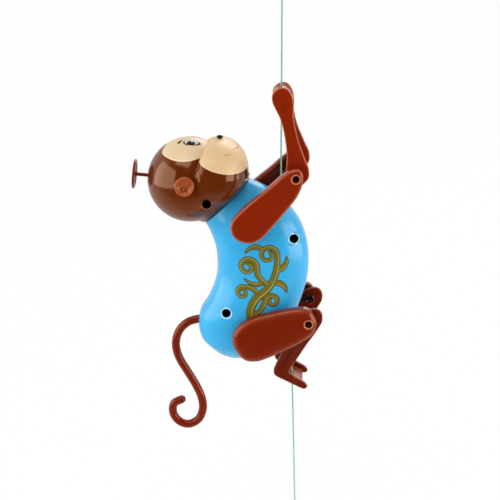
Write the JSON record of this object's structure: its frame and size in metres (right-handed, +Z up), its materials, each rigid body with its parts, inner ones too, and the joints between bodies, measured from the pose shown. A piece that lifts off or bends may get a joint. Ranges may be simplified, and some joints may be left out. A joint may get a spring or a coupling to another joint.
{
  "type": "string climbing monkey toy",
  "caption": "Plastic toy monkey that grips a taut string with its hands and feet and climbs it when the string is pulled, with jointed limbs and a curled tail.",
  "frame": {"origin": "top of the hole in the hanging ring, where the hook that holds the string bears", "axes": "+Z up along the taut string; +X towards the side of the monkey's belly; +Y to the monkey's left, across the split between its half shells"},
  "size_m": [0.1234, 0.0614, 0.4101],
  "materials": {
    "red_brown_plastic": "glossy red-brown injection-moulded plastic",
    "dark_brown_plastic": "glossy dark brown moulded plastic, with a beige painted face",
    "ear_plastic": "semi-gloss reddish brown moulded plastic",
    "black_plastic": "gloss black plastic",
    "sky_blue_plastic": "glossy sky blue moulded plastic, with an olive gold print on the flanks",
    "green_string": "smooth twisted synthetic string",
    "steel": "plain zinc-plated steel"
  },
  "bodies": {
    "string": {"climbing_string": "green_string", "upper_knot": "green_string", "hanging_ring": "red_brown_plastic", "lower_knot": "green_string", "pull_ring": "red_brown_plastic"},
    "torso": {"torso_shell_right": "sky_blue_plastic", "torso_shell_left": "sky_blue_plastic", "torso_screw_upper": "steel", "torso_screw_lower": "steel", "tail": "red_brown_plastic", "neck_pin": "sky_blue_plastic", "shoulder_spring": "steel", "hip_spring": "steel"},
    "head": {"head_shell_right": "dark_brown_plastic", "head_shell_left": "dark_brown_plastic", "head_screw": "steel", "ear_right": "ear_plastic", "ear_left": "ear_plastic", "nose": "black_plastic", "crown_knob": "red_brown_plastic"},
    "arms": {"upper_arm_right": "red_brown_plastic", "upper_arm_left": "red_brown_plastic", "shoulder_axle": "steel", "elbow_screw_right": "steel", "elbow_screw_left": "steel"},
    "forearms": {"forearm_right": "red_brown_plastic", "forearm_left": "red_brown_plastic", "hand_block": "red_brown_plastic"},
    "legs": {"thigh_right": "red_brown_plastic", "thigh_left": "red_brown_plastic", "hip_axle": "steel", "knee_screw_right": "steel", "knee_screw_left": "steel"},
    "feet": {"shin_right": "red_brown_plastic", "shin_left": "red_brown_plastic", "foot_block": "red_brown_plastic"}
  },
  "joints": [
    {"name": "climb", "type": "slide", "parent": "string", "child": "torso", "axis": [-0.0368, 0, 0.9993], "range_m": [-0.04, 0.035]},
    {"name": "head_turn", "type": "hinge", "parent": "torso", "child": "head", "pos_m": [-0.0349, 0, -0.156], "axis": [-0.7193, 0, 0.6947], "range_deg": [-45, 45]},
    {"name": "shoulder", "type": "hinge", "parent": "torso", "child": "arms", "pos_m": [-0.0209, 0, -0.1665], "axis": [0, 1, 0], "range_deg": [-12, 18], "stiffness_Nm_per_rad": 0.06, "springref_deg": -2.86},
    {"name": "elbow", "type": "hinge", "parent": "arms", "child": "forearms", "pos_m": [0.0101, 0, -0.1343], "axis": [0, 1, 0], "range_deg": [-30, 20]},
    {"name": "hip", "type": "hinge", "parent": "torso", "child": "legs", "pos_m": [-0.0161, 0, -0.242], "axis": [0, 1, 0], "range_deg": [0, 26], "stiffness_Nm_per_rad": 0.06, "springref_deg": -6.88},
    {"name": "knee", "type": "hinge", "parent": "legs", "child": "feet", "pos_m": [0.019, 0, -0.2301], "axis": [0, 1, 0], "range_deg": [-24.5, 0]}
  ],
  "couplings": [
    {"joint": "elbow", "follows": "shoulder", "ratio": -1.66},
    {"joint": "knee", "follows": "hip", "ratio": -0.93}
  ]
}
